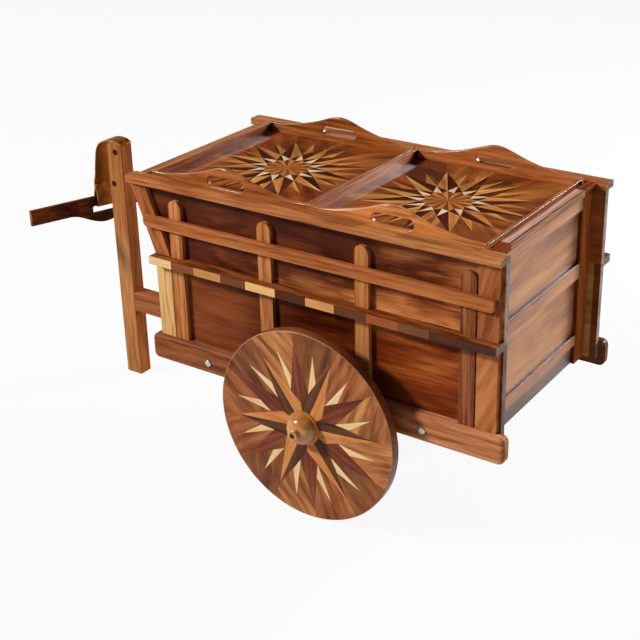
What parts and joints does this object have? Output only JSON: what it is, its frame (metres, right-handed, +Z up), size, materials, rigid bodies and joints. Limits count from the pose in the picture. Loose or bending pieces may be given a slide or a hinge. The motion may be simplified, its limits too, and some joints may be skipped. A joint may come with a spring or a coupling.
{
  "type": "bar cart",
  "caption": "Wheeled wooden bar cart shaped like a small ox cart, with stake sides, a post leg, a strap-hung yoke and lift-off serving trays with star marquetry.",
  "frame": {"origin": "on the ground, on the centre line, under the middle of the overall length", "axes": "+X to the tailgate, -X to the yoke, +Y to the cart's right, +Z up"},
  "size_m": [1.2918, 0.6852, 0.6833],
  "materials": {
    "board_wood": "dark red-brown tropical hardwood, clear lacquer",
    "rail_wood": "orange-brown hardwood, clear lacquer",
    "stake_wood": "golden-brown straight-grained hardwood, clear lacquer",
    "pale_wood": "pale yellow sapwood, clear lacquer",
    "band_woods": "blocks of light and dark woods, clear lacquer",
    "sill_wood": "red-brown hardwood, clear lacquer",
    "gate_wood": "tan-brown hardwood with wavy grain, clear lacquer",
    "inner_wood": "plain brown hardwood",
    "tray_wood": "brown hardwood with star marquetry, gloss lacquer",
    "wheel_wood": "brown veneer with star marquetry, clear lacquer",
    "hub_wood": "turned golden hardwood, gloss lacquer",
    "post_wood": "golden-brown hardwood, satin lacquer",
    "yoke_wood": "dark rosewood, satin lacquer",
    "plug_wood": "dark end grain",
    "strap_leather": "tan saddle leather",
    "zinc": "zinc plated",
    "axle_steel": "dark steel",
    "tack_brass": "polished"
  },
  "bodies": {
    "cart": {"axle": "axle_steel", "axle_beam": "inner_wood", "axle_caps": "axle_steel", "floor": "inner_wood", "floor_bearers": "inner_wood", "gate_cap": "gate_wood", "gate_panel": "gate_wood", "gate_rails": "gate_wood", "gate_stiles": "gate_wood", "left_band_blocks": "band_woods", "left_banded_rail": "rail_wood", "left_cap_rail": "rail_wood", "left_lower_board": "board_wood", "left_lower_front_stile": "pale_wood", "left_lower_rear_stile": "stake_wood", "left_mid_rail": "rail_wood", "left_sill": "sill_wood", "left_stakes": "stake_wood", "left_upper_board": "board_wood", "left_upper_front_stile": "rail_wood", "left_upper_rear_stile": "rail_wood", "lower_front_wall": "board_wood", "post": "post_wood", "post_plugs": "plug_wood", "right_band_blocks": "band_woods", "right_banded_rail": "rail_wood", "right_cap_rail": "rail_wood", "right_lower_board": "board_wood", "right_lower_front_stile": "pale_wood", "right_lower_rear_stile": "stake_wood", "right_mid_rail": "rail_wood", "right_sill": "sill_wood", "right_stakes": "stake_wood", "right_upper_board": "board_wood", "right_upper_front_stile": "rail_wood", "right_upper_rear_stile": "rail_wood", "sill_bolts": "zinc", "strap_tacks": "tack_brass", "strap_top": "strap_leather", "tongue": "post_wood", "tray_cleats": "inner_wood", "upper_front_wall": "board_wood"},
    "left_wheel_set": {"left_wheel": "wheel_wood", "left_hub": "hub_wood", "left_back_collar": "hub_wood"},
    "right_wheel_set": {"right_wheel": "wheel_wood", "right_hub": "hub_wood", "right_back_collar": "hub_wood"},
    "front_tray": {"front_tray_base": "tray_wood", "front_tray_lips": "tray_wood", "front_tray_handles": "tray_wood"},
    "rear_tray": {"rear_tray_base": "tray_wood", "rear_tray_lips": "tray_wood", "rear_tray_handles": "tray_wood"},
    "strap": {"strap_run": "strap_leather"},
    "yoke_set": {"yoke": "yoke_wood", "strap_loop": "strap_leather", "strap_rivet": "axle_steel"}
  },
  "joints": [
    {"name": "left_wheel_spin", "type": "hinge", "parent": "cart", "child": "left_wheel_set", "pos_m": [0.22978, 0, 0.2085], "axis": [0, 1, 0], "continuous": true},
    {"name": "right_wheel_spin", "type": "hinge", "parent": "cart", "child": "right_wheel_set", "pos_m": [0.22978, 0, 0.2085], "axis": [0, 1, 0], "continuous": true},
    {"name": "front_tray_lift", "type": "slide", "parent": "cart", "child": "front_tray", "axis": [0, 0, 1], "range_m": [0, 0.15]},
    {"name": "rear_tray_lift", "type": "slide", "parent": "cart", "child": "rear_tray", "axis": [0, 0, 1], "range_m": [0, 0.15]},
    {"name": "strap_swing", "type": "hinge", "parent": "cart", "child": "strap", "pos_m": [-0.56773, 0, 0.576], "axis": [0, 1, 0], "range_deg": [-5, 40]},
    {"name": "yoke_twist", "type": "hinge", "parent": "strap", "child": "yoke_set", "pos_m": [-0.57273, 0, 0.486], "axis": [0, 0, 1], "range_deg": [-9, 51]}
  ]
}
